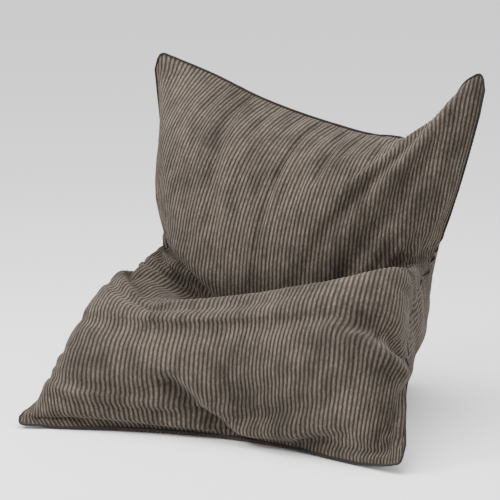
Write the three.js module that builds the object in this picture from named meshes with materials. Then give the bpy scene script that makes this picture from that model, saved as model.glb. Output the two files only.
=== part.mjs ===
// Bean bag chair: a giant two-panel floor pillow of jumbo cord, piped all round, bent into a
// seat with an upright back, two ears and a deep crease. Inside are a liner and loose beads.
// Millimetres, +Z up, +X to the sitter's left when seen from the front, the front faces -Y.
import * as THREE from "three";

// Overall size of the chair as it stands
const WIDTH = 1270;
const DEPTH = 1053;
const HEIGHT = 1080;

// Flat cut of the two panels
const PANEL_WIDTH = 1400;
const PANEL_LENGTH = 1800;
const CORNER_RADIUS = 60;

// Layers, counted inward from the outside of the cover
const COVER_THICKNESS = 3;
const LINER_THICKNESS = 2;
const LINER_DEPTH = 11;
const FILL_GAP = 7.5;
const SEWN_GAP = 0.5;

// Piping round the edge
const PIPING_RADIUS = 3.6;
const PIPING_WALL = 1;
const PIPING_GAP = 0.5;
const CORD_GAP = 0.35;
const JOIN_GAP = 1;

// Zips: one in the cover and one in the liner behind it
const ZIP_FROM_TOP = 775;
const ZIP_LENGTH = 440;
const ZIP_MARGIN = 15;
const ZIP_BAND = 25;
const ZIP_SLOT = 6;
const TAPE_WIDTH = 15;
const TAPE_THICKNESS = 0.7;
const COIL_WIDTH = 2.2;
const COIL_HEIGHT = 2.3;
const COIL_SPLIT = 1.2;
const SLIDER_LENGTH = 12;
const SLIDER_WIDTH = 9;
const SLIDER_PLATE = 1.1;
const SLIDER_POST = 0.8;
const SLIDER_RIB = 1.6;
const STOP_LENGTH = 4;
const SLIDE_GAP = 0.3;
const COVER_SLIDER_X = -200;
const LINER_SLIDER_X = 200;

// Care label, blank, sewn to the upper tape inside the cover
const LABEL_WIDTH = 35;
const LABEL_LENGTH = 18;
const LABEL_THICKNESS = 0.5;
const LABEL_X = 120;

// Shape of the two panels in centimetres for a chair 127 wide, 105 deep and 107 high:
// x to the right, y back from the front corners, z up. One line for each station down the
// panel, one point for each station across it. Both panels share their first and last points.
const NET_SIZE = [127, 105.3, 108];
const DOWN = [0, 20, 48, 68, 86, 108, 126, 144, 162, 180];
const ACROSS = [-70, -52, -28, 0, 28, 52, 70];
const LEFT_SEAM = [
  [-56, 75, 107], [-53, 73, 88], [-50, 69, 64], [-48, 67, 47], [-47, 61, 36],
  [-51, 46, 27], [-55, 36, 20], [-60, 23, 12], [-63, 10, 6], [-65, -1, 1.5],
];
const RIGHT_SEAM = [
  [57, 75, 107], [54, 71, 87], [49, 64, 63], [44, 62, 49], [42, 57, 42],
  [44, 46, 35], [48, 35, 29], [53, 22, 23], [58, 9, 15], [62, -1, 4],
];
const TOP_SEAM = [[-41, 75, 102], [-24, 74, 95], [0, 73, 88], [23, 71, 85], [40, 73, 93]];
const FRONT_SEAM = [[-50, 5, 1.3], [-27, 11, 1.3], [0, 14, 1.3], [26, 9, 1.3], [49, 1, 1.3]];
const FRONT_MIDDLE = [
  [[-42, 61, 89], [-25, 53, 87], [0, 51, 84], [24, 51, 80], [41, 58, 85]],
  [[-43, 54, 64], [-26, 41, 60], [0, 37, 58], [24, 40, 58], [41, 51, 61]],
  [[-44, 58, 48], [-26, 41, 39], [0, 36, 36], [24, 39, 38], [42, 52, 51]],
  [[-46, 50, 44], [-29, 41, 25], [0, 37, 20], [24, 39, 24], [44, 46, 50]],
  [[-51, 37, 40], [-32, 29, 37], [0, 28, 42], [25, 29, 48], [48, 33, 53]],
  [[-56, 27, 31], [-33, 16, 33], [0, 14, 37], [26, 15, 43], [51, 23, 44]],
  [[-59, 14, 18], [-33, 8, 20], [0, 9, 24], [27, 6, 29], [53, 9, 32]],
  [[-58, 5, 7], [-32, 8, 8], [0, 12, 9], [27, 5, 14], [53, 1, 16]],
];
const BACK_MIDDLE = [
  [[-40, 86, 86], [-22, 90, 79], [0, 90, 75], [22, 87, 74], [39, 84, 83]],
  [[-40, 87, 60], [-22, 98, 56], [0, 102, 53], [22, 98, 54], [38, 84, 60]],
  [[-40, 86, 40], [-22, 101, 35], [0, 104, 33], [22, 100, 34], [36, 84, 39]],
  [[-40, 79, 20], [-22, 97, 15], [0, 99, 14], [20, 96, 15], [35, 77, 18]],
  [[-42, 63, 5], [-23, 80, 1], [0, 83, 0], [21, 77, 1], [36, 62, 5]],
  [[-46, 48, 1.6], [-25, 63, 0], [0, 66, 0], [23, 60, 0], [40, 47, 2]],
  [[-50, 32, 0.6], [-26, 44, 0], [0, 48, 0], [25, 42, 0], [45, 30, 1.2]],
  [[-52, 16, 0.6], [-27, 27, 0], [0, 31, 0], [26, 25, 0], [49, 13, 0.8]],
];

// Mesh density
const MIDDLE_COLUMNS = 16;
const UPPER_ROWS = 9;
const LOWER_ROWS = 11;
const PIPING_SIDES = 8;

const HALF_WIDTH = PANEL_WIDTH / 2;

/** Puts the four seams round the middle points of one panel, as vectors in millimetres. */
function makeNet(middle) {
  const rows = [TOP_SEAM, ...middle, FRONT_SEAM];
  const scale = new THREE.Vector3(WIDTH, DEPTH, HEIGHT).divide(new THREE.Vector3(...NET_SIZE));
  return rows.map((row, i) => {
    const points = [LEFT_SEAM[i], ...row, RIGHT_SEAM[i]];
    return points.map((p) => new THREE.Vector3(...p).multiply(scale));
  });
}

/** Smooth curve through points at uneven knots. */
function spline(knots, points, t) {
  const last = knots.length - 1;
  const chord = [];
  for (let i = 0; i < last; i++) {
    chord.push(points[i + 1].clone().sub(points[i]).divideScalar(knots[i + 1] - knots[i]));
  }
  const slope = (i) => {
    if (i === 0) return chord[0].clone().multiplyScalar(1.5).addScaledVector(slope(1), -0.5);
    if (i === last) {
      return chord[last - 1].clone().multiplyScalar(1.5).addScaledVector(slope(last - 1), -0.5);
    }
    const before = knots[i] - knots[i - 1];
    const share = before / (knots[i + 1] - knots[i - 1]);
    return chord[i - 1].clone().multiplyScalar(1 - share).addScaledVector(chord[i], share);
  };
  let i = 0;
  while (i < last - 1 && t > knots[i + 1]) i++;
  const span = knots[i + 1] - knots[i];
  const a = (t - knots[i]) / span;
  return new THREE.Vector3()
    .addScaledVector(points[i], (1 + 2 * a) * (1 - a) ** 2)
    .addScaledVector(slope(i), span * a * (1 - a) ** 2)
    .addScaledVector(points[i + 1], a * a * (3 - 2 * a))
    .addScaledVector(slope(i + 1), -span * a * a * (1 - a));
}

/** Point of a panel; across runs over the cut width and down over the cut length. */
function panelPoint(net, across, down) {
  const u = (across / PANEL_WIDTH) * (ACROSS.at(-1) - ACROSS[0]);
  const v = (down / PANEL_LENGTH) * DOWN.at(-1);
  const point = spline(ACROSS, columnsAt(net, v), u);
  point.z = Math.max(point.z, 0);
  return point;
}

function columnsAt(net, v) {
  return ACROSS.map((_, k) => spline(DOWN, net.map((row) => row[k]), v));
}

/** Evenly spaced places from one value to another, both included. */
function evenly(from, to, steps) {
  return Array.from({ length: steps + 1 }, (_, i) => from + ((to - from) * i) / steps);
}

// Places of the mesh lines. The outermost cells are as wide as the corner radius, so that the
// corner's own point can be drawn in to the middle of its arc.
const straight = HALF_WIDTH - CORNER_RADIUS;
const columns = [-HALF_WIDTH, ...evenly(-straight, straight, MIDDLE_COLUMNS), HALF_WIDTH];
const lines = [
  0, ...evenly(CORNER_RADIUS, ZIP_FROM_TOP - ZIP_BAND, UPPER_ROWS), ZIP_FROM_TOP,
  ...evenly(ZIP_FROM_TOP + ZIP_BAND, PANEL_LENGTH - CORNER_RADIUS, LOWER_ROWS), PANEL_LENGTH,
];
const LAST_COLUMN = columns.length - 1;
const LAST_ROW = lines.length - 1;
const ZIP_ROW = lines.indexOf(ZIP_FROM_TOP);
const CORNER_CUT = CORNER_RADIUS * (1 - Math.SQRT1_2);

/** Flat place of a mesh point, with the four corner points drawn in. */
function flatPlace(row, col) {
  const endRow = row === 0 || row === LAST_ROW;
  const endCol = col === 0 || col === LAST_COLUMN;
  const cut = endRow && endCol ? CORNER_CUT : 0;
  return [columns[col] * (1 - cut / HALF_WIDTH), lines[row] + (row === 0 ? cut : -cut)];
}

const frontNet = makeNet(FRONT_MIDDLE);
const backNet = makeNet(BACK_MIDDLE);

// The zip lies on a straight line across the rear, in the plane of the panel there
const zipAbove = panelPoint(backNet, 0, ZIP_FROM_TOP - 3 * ZIP_BAND);
const zipBelow = panelPoint(backNet, 0, ZIP_FROM_TOP + 3 * ZIP_BAND);
const zipSide = panelPoint(backNet, ZIP_LENGTH / 2, ZIP_FROM_TOP);
const zipMiddle = panelPoint(backNet, 0, ZIP_FROM_TOP);
const zipUp = new THREE.Vector3(0, zipAbove.y - zipBelow.y, zipAbove.z - zipBelow.z).normalize();
const zipOut = new THREE.Vector3(0, zipUp.z, -zipUp.y);
const zipOrigin = new THREE.Vector3(0, (zipMiddle.y + zipSide.y) / 2, zipMiddle.z);
const zipReach = columns.find((across) =>
  panelPoint(backNet, across, ZIP_FROM_TOP).x > ZIP_LENGTH / 2 + ZIP_MARGIN);

function nearZip(row, across) {
  return Math.abs(row - ZIP_ROW) <= 1 && Math.abs(across) <= zipReach;
}

/** Outer skin of a panel as rows of { point, normal }, straightened where it holds the zip. */
function skin(net, outwardSign, flattenZip) {
  const grid = lines.map((_, row) => columns.map((_, col) => {
    const [across, down] = flatPlace(row, col);
    const point = panelPoint(net, across, down);
    if (flattenZip && nearZip(row, across)) {
      const x = point.x;
      point.copy(zipOrigin).addScaledVector(zipUp, ZIP_FROM_TOP - down);
      point.x = x;
    }
    return { point };
  }));
  grid.forEach((line, row) => line.forEach((cell, col) => {
    cell.normal = new THREE.Vector3();
    for (const [down, across] of [[1, 1], [1, -1], [-1, 1], [-1, -1]]) {
      const below = grid[row + down]?.[col]?.point;
      const beside = line[col + across]?.point;
      if (!below || !beside) continue;
      const facet = beside.clone().sub(cell.point).cross(below.clone().sub(cell.point));
      cell.normal.addScaledVector(facet.normalize(), outwardSign * down * across);
    }
    cell.normal.normalize();
    if (flattenZip && nearZip(row, columns[col])) cell.normal.copy(zipOut);
  }));
  return grid;
}

const frontSkin = skin(frontNet, -1, false);
const backSkin = skin(backNet, 1, true);

const FILL_DEPTH = LINER_DEPTH + LINER_THICKNESS + FILL_GAP;
const THIN_SHARE = 0.42;
const TURN_OVER = 80;

/** Inward direction and depth scale at each mesh point, thinner where the panels come close. */
function addInward(own, other) {
  own.forEach((line, row) => line.forEach((cell, col) => {
    let nearest = Infinity;
    for (let r = Math.max(0, row - 3); r <= Math.min(LAST_ROW, row + 3); r++) {
      for (let c = Math.max(0, col - 3); c <= Math.min(LAST_COLUMN, col + 3); c++) {
        nearest = Math.min(nearest, cell.point.distanceTo(other[r][c].point));
      }
    }
    const across = other[row][col].point.clone().sub(cell.point).normalize();
    const turn = Math.max(0, 1 - nearest / TURN_OVER);
    cell.inward = cell.normal.clone().multiplyScalar(turn - 1).addScaledVector(across, turn);
    cell.inward.normalize();
    cell.scale = Math.min(1, (THIN_SHARE * nearest) / FILL_DEPTH);
  }));
}
addInward(frontSkin, backSkin);
addInward(backSkin, frontSkin);

// The seam line, once round from the middle of the front edge
const seamPlaces = [];
const middleCol = columns.length >> 1;
for (let c = middleCol; c <= LAST_COLUMN; c++) seamPlaces.push([LAST_ROW, c]);
for (let r = LAST_ROW - 1; r >= 0; r--) seamPlaces.push([r, LAST_COLUMN]);
for (let c = LAST_COLUMN - 1; c >= 0; c--) seamPlaces.push([0, c]);
for (let r = 1; r <= LAST_ROW; r++) seamPlaces.push([r, 0]);
for (let c = 1; c < middleCol; c++) seamPlaces.push([LAST_ROW, c]);
const seamPoint = (i) => {
  const [r, c] = seamPlaces[(i + seamPlaces.length) % seamPlaces.length];
  return frontSkin[r][c].point;
};
const seamTangent = (i) => {
  const before = seamPoint(i).clone().sub(seamPoint(i - 1)).normalize();
  return before.add(seamPoint(i + 1).clone().sub(seamPoint(i)).normalize()).normalize();
};
seamPlaces.forEach(([r, c], i) => {
  frontSkin[r][c].tangent = seamTangent(i);
  backSkin[r][c].tangent = seamTangent(i);
});

/** Direction from the seam into a panel, square to the seam, for points on the mesh's edge. */
function seamward(grid, row, col) {
  const { point, tangent } = grid[row][col];
  const inRow = THREE.MathUtils.clamp(row, 1, LAST_ROW - 1);
  const inCol = THREE.MathUtils.clamp(col, 1, LAST_COLUMN - 1);
  const way = grid[inRow][inCol].point.clone().sub(point);
  return way.addScaledVector(tangent, -way.dot(tangent)).normalize();
}

/**
 * One layer of a panel at a depth under its skin. On the edge the layers fan round the piping:
 * fan 0 is the panel's own skin and 0.5 is half-way to the other panel.
 */
function layer(own, other, depth, radius, fan) {
  return own.map((line, row) => line.map((cell, col) => {
    if (!cell.tangent) return cell.point.clone().addScaledVector(cell.inward, depth * cell.scale);
    const mine = seamward(own, row, col);
    const theirs = seamward(other, row, col);
    const middle = mine.clone().add(theirs);
    const spread = mine.clone().sub(theirs);
    const length = middle.length() < 0.5 ? cell.normal.clone().negate() : middle.normalize();
    const open = Math.max(mine.angleTo(theirs) / 2, FAN_LEAST) * (1 - 2 * fan);
    const side = spread.addScaledVector(length, -spread.dot(length)).normalize();
    const way = length.multiplyScalar(Math.cos(open)).addScaledVector(side, Math.sin(open));
    return cell.point.clone().addScaledVector(way, radius);
  }));
}

/** Closed mesh between two point grids of the same size, the first one outside. */
function closedGrid(outer, inner, flip, reachesSeam = true) {
  const rows = outer.length;
  const cols = outer[0].length;
  const positions = [];
  for (const grid of [outer, inner]) {
    for (const line of grid) line.forEach((p) => positions.push(p.x, p.y, p.z));
  }
  const at = (side, r, c) => side * rows * cols + r * cols + c;
  const index = [];
  const face = (a, b, c) => index.push(...(flip ? [a, c, b] : [a, b, c]));
  const quad = (a, b, c, d) => {
    face(a, b, c);
    face(a, c, d);
  };
  // Both sides split a cell the same way, and no triangle lies along the seam at a corner
  for (let r = 0; r < rows - 1; r++) {
    for (let c = 0; c < cols - 1; c++) {
      const atCorner = (r === 0 && c === cols - 2) || (r === rows - 2 && c === 0);
      const ring = [[r, c], [r + 1, c], [r + 1, c + 1], [r, c + 1]];
      if (reachesSeam && atCorner) ring.push(ring.shift());
      quad(...ring.map(([i, j]) => at(0, i, j)));
      const [a, b, d, e] = ring.map(([i, j]) => at(1, i, j));
      face(a, d, b);
      face(a, e, d);
    }
  }
  const wall = (r0, c0, r1, c1) => quad(at(0, r0, c0), at(0, r1, c1), at(1, r1, c1), at(1, r0, c0));
  for (let c = 0; c < cols - 1; c++) {
    wall(0, c, 0, c + 1);
    wall(rows - 1, c + 1, rows - 1, c);
  }
  for (let r = 0; r < rows - 1; r++) {
    wall(r + 1, 0, r, 0);
    wall(r, cols - 1, r + 1, cols - 1);
  }
  const geometry = new THREE.BufferGeometry();
  geometry.setAttribute("position", new THREE.Float32BufferAttribute(positions, 3));
  geometry.setIndex(index);
  geometry.computeVertexNormals();
  return geometry;
}

const chair = new THREE.Group();

function addMesh(name, geometry, material, parent = chair) {
  const mesh = new THREE.Mesh(geometry, material);
  mesh.name = name;
  parent.add(mesh);
  return mesh;
}

const cloth = (color, roughness = 0.95) =>
  new THREE.MeshStandardMaterial({ color, roughness, metalness: 0 });

// Cover: front panel, and the back panel in two pieces with the zip between them.
// The fan shares stack cover, liner and the gaps between them round the piping.
const FAN_LEAST = 0.4;
const EDGE_RADIUS = PIPING_RADIUS + PIPING_GAP;
const LINER_RADIUS = EDGE_RADIUS + 3;
const COVER_FAN = 0.16;
const LINER_FAN = [0.34, 0.39];

function panelLayers(own, other) {
  return {
    coverOut: layer(own, other, 0, EDGE_RADIUS, 0),
    coverIn: layer(own, other, COVER_THICKNESS, EDGE_RADIUS, COVER_FAN),
    linerOut: layer(own, other, LINER_DEPTH, LINER_RADIUS, LINER_FAN[0]),
    linerIn: layer(own, other, LINER_DEPTH + LINER_THICKNESS, LINER_RADIUS, LINER_FAN[1]),
    fill: layer(own, other, FILL_DEPTH, 0, 0),
  };
}
const front = panelLayers(frontSkin, backSkin);
const back = panelLayers(backSkin, frontSkin);

/** Rows above or below the zip, with the slot and the sewn gap cut back from its line. */
function partOfBack(grid, upper) {
  const rows = upper ? grid.slice(0, ZIP_ROW + 1) : grid.slice(ZIP_ROW);
  const cut = upper ? rows.length - 1 : 0;
  return rows.map((line, r) => line.map((p, col) => {
    if (r !== cut) return p;
    const away = grid[upper ? ZIP_ROW - 1 : ZIP_ROW + 1][col].clone().sub(p).normalize();
    const inSlot = Math.abs(columns[col]) <= zipReach;
    return p.clone().addScaledVector(away, inSlot ? ZIP_SLOT : SEWN_GAP / 2);
  }));
}

const TAUPE = 0x756b63;
addMesh("front_panel", closedGrid(front.coverOut, front.coverIn, false), cloth(TAUPE));
for (const [name, upper] of [["back_panel_upper", true], ["back_panel_lower", false]]) {
  const outer = partOfBack(back.coverOut, upper);
  addMesh(name, closedGrid(outer, partOfBack(back.coverIn, upper), true), cloth(TAUPE));
}

// Liner: the same three pieces again in thin cloth
const LINER_WHITE = 0xe8e4dc;
addMesh("liner_front", closedGrid(front.linerOut, front.linerIn, false), cloth(LINER_WHITE));
for (const [name, upper] of [["liner_back_upper", true], ["liner_back_lower", false]]) {
  const outer = partOfBack(back.linerOut, upper);
  addMesh(name, closedGrid(outer, partOfBack(back.linerIn, upper), true), cloth(LINER_WHITE));
}

// Filling: one body of loose beads, inside the liner's edge
const inside = (grid) => grid.slice(1, -1).map((line) => line.slice(1, -1));
const beads = closedGrid(inside(front.fill), inside(back.fill), false, false);
addMesh("bead_fill", beads, cloth(0xf4f4f2));

// Piping: a sewn sleeve with a cord core, both with a butt join at the middle of the front edge
const seam = Array.from({ length: seamPlaces.length + 1 }, (_, i) => seamPoint(i).clone());
seam[0].addScaledVector(seamTangent(0), JOIN_GAP / 2);
seam[seam.length - 1].addScaledVector(seamTangent(0), -JOIN_GAP / 2);

/** Rings of points round the seam line, each square to the bend and turned as little as can be. */
function seamRings(radius, sides) {
  let normal = new THREE.Vector3(0, 0, 1);
  return seam.map((point, i) => {
    const tangent = seamTangent(i);
    normal = normal.clone().addScaledVector(tangent, -normal.dot(tangent)).normalize();
    const side = tangent.clone().cross(normal);
    return Array.from({ length: sides }, (_, k) => {
      const angle = (2 * Math.PI * k) / sides;
      const ring = point.clone().addScaledVector(normal, radius * Math.cos(angle));
      return ring.addScaledVector(side, radius * Math.sin(angle));
    });
  });
}

/** Closed tube from rings; with inner rings it is a pipe open at both ends. */
function tube(outer, inner) {
  const sides = outer[0].length;
  const rings = outer.length;
  const all = inner ? [...outer, ...inner] : outer;
  const positions = all.flat().flatMap((p) => [p.x, p.y, p.z]);
  const index = [];
  const quad = (a, b, c, d) => index.push(a, b, c, a, c, d);
  const at = (ring, k) => ring * sides + (k % sides);
  for (let k = 0; k < sides; k++) {
    for (let i = 0; i < rings - 1; i++) {
      quad(at(i, k), at(i, k + 1), at(i + 1, k + 1), at(i + 1, k));
      if (inner) {
        const j = i + rings;
        quad(at(j, k), at(j + 1, k), at(j + 1, k + 1), at(j, k + 1));
      }
    }
    if (inner) {
      quad(at(0, k), at(rings, k), at(rings, k + 1), at(0, k + 1));
      quad(at(rings - 1, k), at(rings - 1, k + 1), at(2 * rings - 1, k + 1), at(2 * rings - 1, k));
    }
  }
  if (!inner) {
    for (let k = 1; k < sides - 1; k++) {
      index.push(at(0, 0), at(0, k + 1), at(0, k));
      index.push(at(rings - 1, 0), at(rings - 1, k), at(rings - 1, k + 1));
    }
  }
  const geometry = new THREE.BufferGeometry();
  geometry.setAttribute("position", new THREE.Float32BufferAttribute(positions, 3));
  geometry.setIndex(index);
  geometry.computeVertexNormals();
  return geometry;
}

const sleeveInner = PIPING_RADIUS - PIPING_WALL;
const sleeve = tube(seamRings(PIPING_RADIUS, PIPING_SIDES), seamRings(sleeveInner, PIPING_SIDES));
addMesh("piping_sleeve", sleeve, cloth(0x2b2623));
const core = tube(seamRings(sleeveInner - CORD_GAP, PIPING_SIDES));
addMesh("piping_cord", core, cloth(0xd8d2c6));

// Zips: each is a group whose x runs along the zip to the left, y up the panel and z out of it
function box(width, height, depth, x, y, z) {
  const geometry = new THREE.BoxGeometry(width, height, depth);
  geometry.translate(x, y, z);
  return geometry;
}

function addZip(prefix, panelDepth, panelThickness, sliderX, rub) {
  const zip = new THREE.Group();
  zip.position.copy(zipOrigin);
  zip.setRotationFromMatrix(new THREE.Matrix4().makeBasis(new THREE.Vector3(-1, 0, 0), zipUp, zipOut));
  chair.add(zip);
  const tapeZ = -panelDepth - panelThickness - SLIDE_GAP - TAPE_THICKNESS / 2;
  const coilY = COIL_SPLIT / 2 + COIL_WIDTH / 2;
  const tapeY = COIL_SPLIT / 2 + COIL_WIDTH + SLIDE_GAP + TAPE_WIDTH / 2;
  const tapeCloth = cloth(rub);
  const nylon = new THREE.MeshStandardMaterial({ color: rub, roughness: 0.5, metalness: 0 });
  const metal = new THREE.MeshStandardMaterial({ color: 0x4a4744, roughness: 0.4, metalness: 0.9 });
  for (const [side, y] of [["upper", 1], ["lower", -1]]) {
    const tape = box(ZIP_LENGTH, TAPE_WIDTH, TAPE_THICKNESS, 0, y * tapeY, tapeZ);
    addMesh(`${prefix}_tape_${side}`, tape, tapeCloth, zip);
    const coil = box(ZIP_LENGTH, COIL_WIDTH, COIL_HEIGHT, 0, y * coilY, tapeZ);
    addMesh(`${prefix}_coil_${side}`, coil, nylon, zip);
  }
  const stopX = ZIP_LENGTH / 2 + SLIDE_GAP + STOP_LENGTH / 2;
  const stopWidth = COIL_SPLIT + 2 * COIL_WIDTH;
  for (const [end, sign] of [["left", -1], ["right", 1]]) {
    const stop = box(STOP_LENGTH, stopWidth, COIL_HEIGHT, sign * stopX, 0, tapeZ);
    addMesh(`${prefix}_stop_${end}`, stop, metal, zip);
  }
  // The slider is an I section: two plates held by a post that runs between the coils
  const inner = COIL_HEIGHT / 2 + SLIDE_GAP;
  const outer = inner + SLIDER_PLATE;
  const half = SLIDER_WIDTH / 2;
  const post = SLIDER_POST / 2;
  const rib = SLIDER_RIB;
  const profile = new THREE.Shape([
    [-half, -outer], [half, -outer], [half, -inner], [post, -inner], [post, inner], [half, inner],
    [half, outer], [rib / 2, outer], [rib / 2, outer + rib], [-rib / 2, outer + rib],
    [-rib / 2, outer], [-half, outer], [-half, inner], [-post, inner], [-post, -inner],
    [-half, -inner],
  ].map(([y, z]) => new THREE.Vector2(y, z)));
  const body = new THREE.ExtrudeGeometry(profile, { depth: SLIDER_LENGTH, bevelEnabled: false });
  body.translate(0, 0, -SLIDER_LENGTH / 2);
  body.applyMatrix4(new THREE.Matrix4().makeBasis(
    new THREE.Vector3(0, 1, 0), new THREE.Vector3(0, 0, 1), new THREE.Vector3(1, 0, 0)));
  body.translate(sliderX, 0, tapeZ);
  addMesh(`${prefix}_slider`, body, metal, zip);
  return { zip, tapeZ, tapeY };
}

const cover = addZip("zip", 0, COVER_THICKNESS, COVER_SLIDER_X, 0x4b443e);
addZip("liner_zip", LINER_DEPTH, LINER_THICKNESS, LINER_SLIDER_X, 0xe8e4dc);

// Care label under the upper tape of the cover's zip
const labelZ = cover.tapeZ - TAPE_THICKNESS / 2 - SLIDE_GAP - LABEL_THICKNESS / 2;
const labelY = cover.tapeY - TAPE_WIDTH / 2 + SLIDER_WIDTH / 2 + LABEL_LENGTH / 2;
const label = box(LABEL_WIDTH, LABEL_LENGTH, LABEL_THICKNESS, LABEL_X, labelY, labelZ);
addMesh("care_label", label, cloth(0xf2f0ea), cover.zip);

// Origin at the middle of the footprint, on the floor
chair.updateMatrixWorld(true);
const bounds = new THREE.Box3().setFromObject(chair, true);
chair.position.set(
  -(bounds.min.x + bounds.max.x) / 2, -(bounds.min.y + bounds.max.y) / 2, -bounds.min.z);

export default chair;
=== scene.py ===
# A giant piped floor cushion in jumbo cord, bent into a chair and filled with loose beads.
import math

import bmesh
import bpy
import numpy as np
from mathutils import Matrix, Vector
from mathutils.bvhtree import BVHTree


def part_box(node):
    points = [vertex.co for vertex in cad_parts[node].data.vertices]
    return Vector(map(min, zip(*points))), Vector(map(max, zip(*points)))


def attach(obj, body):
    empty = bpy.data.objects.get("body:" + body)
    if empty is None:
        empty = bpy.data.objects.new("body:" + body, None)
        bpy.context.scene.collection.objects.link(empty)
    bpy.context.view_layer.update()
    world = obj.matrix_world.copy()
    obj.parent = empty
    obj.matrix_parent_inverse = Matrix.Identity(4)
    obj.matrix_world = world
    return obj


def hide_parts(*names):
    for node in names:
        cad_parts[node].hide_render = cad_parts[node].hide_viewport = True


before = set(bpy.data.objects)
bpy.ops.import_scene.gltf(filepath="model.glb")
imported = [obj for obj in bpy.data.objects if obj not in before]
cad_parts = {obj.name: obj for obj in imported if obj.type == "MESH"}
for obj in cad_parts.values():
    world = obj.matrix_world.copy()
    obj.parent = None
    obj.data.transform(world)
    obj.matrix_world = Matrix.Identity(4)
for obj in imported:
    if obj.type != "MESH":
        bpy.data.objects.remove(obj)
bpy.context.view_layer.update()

# ---------------------------------------------------------------------------------------------
# Camera: a long lens a few steps back, to the right of the front, a little above seat height.
CAMERA_AZIMUTH = math.radians(25)
CAMERA_ELEVATION = math.radians(11.3)
CAMERA_DISTANCE = 10.0
FRAME_WIDTH_AT_AIM = 1.5244
SENSOR = 0.036

# Places in the frame are taken from the cover zip's tapes
zip_tapes = [np.array(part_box(f"zip_tape_{side}")).mean(axis=0) for side in ("upper", "lower")]
zip_centre = (zip_tapes[0] + zip_tapes[1]) / 2
zip_up = (zip_tapes[0] - zip_tapes[1]) / np.linalg.norm(zip_tapes[0] - zip_tapes[1])
zip_out = np.array([0.0, zip_up[2], -zip_up[1]])

aim = Vector((zip_centre[0] - 0.073, zip_centre[1] - 0.587, 0.524))
lens_back = Vector((math.sin(CAMERA_AZIMUTH) * math.cos(CAMERA_ELEVATION),
                    -math.cos(CAMERA_AZIMUTH) * math.cos(CAMERA_ELEVATION),
                    math.sin(CAMERA_ELEVATION)))


def add_object(name, data):
    """Puts data in the scene as an object."""
    thing = bpy.data.objects.new(name, data)
    bpy.context.scene.collection.objects.link(thing)
    return thing


camera_data = bpy.data.cameras.new("camera")
camera_data.sensor_width = SENSOR * 1000
camera_data.lens = SENSOR * 1000 * CAMERA_DISTANCE / FRAME_WIDTH_AT_AIM
camera = add_object("camera", camera_data)
camera.location = aim + lens_back * CAMERA_DISTANCE
camera.rotation_euler = lens_back.to_track_quat("Z", "Y").to_euler()
bpy.context.scene.camera = camera

# ---------------------------------------------------------------------------------------------
# The sack: two flat panels, 1.4 m by 1.8 m, that share one seam. They are laid on the form that
# the filled cover takes as a chair, and relaxed as cloth, so that spare length gathers in folds.
PANEL_WIDTH = 1.40
PANEL_LENGTH = 1.80
CORNER_RADIUS = 0.06
ZIP_FROM_TOP = 0.775
# The form's points in centimetres, at these stations down and across the cut
DOWN = np.array([0, 20, 48, 68, 86, 108, 126, 144, 162, 180]) / 100
ACROSS = np.array([-70, -52, -28, 0, 28, 52, 70]) / 100
LEFT_SEAM = [
    (-56, 75, 107), (-53, 73, 88), (-50, 69, 64), (-48, 67, 47), (-47, 61, 36),
    (-52, 46, 28), (-57, 36, 21), (-62, 23, 13), (-65, 10, 6), (-66, -1, 1.5),
]
RIGHT_SEAM = [
    (57, 75, 107), (54, 71, 87), (49, 64, 63), (44, 62, 49), (42, 57, 42),
    (44, 46, 35), (48, 35, 29), (53, 22, 23), (58, 9, 15), (62, -1, 4),
]
TOP_SEAM = [(-37, 75, 101), (-18, 74, 94), (5, 73, 88), (26, 71, 85.5), (42, 72, 89)]
FRONT_SEAM = [(-50, 5, 1.3), (-27, 11, 1.3), (0, 14, 1.3), (26, 9, 1.3), (49, 1, 1.3)]
FRONT_MIDDLE = [
    [(-42, 60, 89), (-23, 52, 87), (3, 50, 84), (26, 50, 81), (43, 57, 85)],
    [(-44, 54, 64), (-28, 41, 60), (-3, 37, 58), (22, 40, 58), (41, 51, 61)],
    [(-43, 57, 49), (-27, 40, 45), (-3, 36, 36), (22, 39, 38), (41, 52, 51)],
    [(-47, 50, 44), (-29, 48, 36), (-1, 39, 20), (24, 39, 24), (44, 46, 50)],
    [(-53, 37, 42), (-33, 29, 37), (0, 28, 42), (25, 29, 48), (48, 33, 53)],
    [(-59, 27, 35), (-34, 16, 34), (0, 14, 37), (26, 15, 43), (51, 23, 44)],
    [(-63, 14, 22), (-34, 8, 21), (0, 9, 24), (27, 6, 29), (53, 9, 32)],
    [(-61, 4, 10), (-33, 7, 9), (0, 12, 9), (27, 5, 14), (53, 1, 16)],
]
BACK_MIDDLE = [
    [(-40, 86, 86), (-22, 90, 79), (0, 90, 75), (22, 87, 74), (39, 84, 83)],
    [(-40, 87, 60), (-22, 98, 56), (0, 102, 53), (22, 98, 54), (38, 84, 60)],
    [(-40, 86, 40), (-22, 101, 35), (0, 104, 33), (22, 100, 34), (36, 84, 39)],
    [(-40, 79, 20), (-22, 97, 15), (0, 99, 14), (20, 96, 15), (35, 77, 18)],
    [(-42, 63, 5), (-23, 80, 1), (0, 83, 0), (21, 77, 1), (36, 62, 5)],
    [(-46, 48, 1.6), (-25, 63, 0), (0, 66, 0), (23, 60, 0), (40, 47, 2)],
    [(-50, 32, 0.6), (-26, 44, 0), (0, 48, 0), (25, 42, 0), (45, 30, 1.2)],
    [(-52, 16, 0.6), (-27, 27, 0), (0, 31, 0), (26, 25, 0), (49, 13, 0.8)],
]


def make_net(middle):
    """The form's points for one panel, seams included, in metres."""
    rows = [TOP_SEAM, *middle, FRONT_SEAM]
    return np.array([[LEFT_SEAM[i], *row, RIGHT_SEAM[i]] for i, row in enumerate(rows)]) / 100


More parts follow.
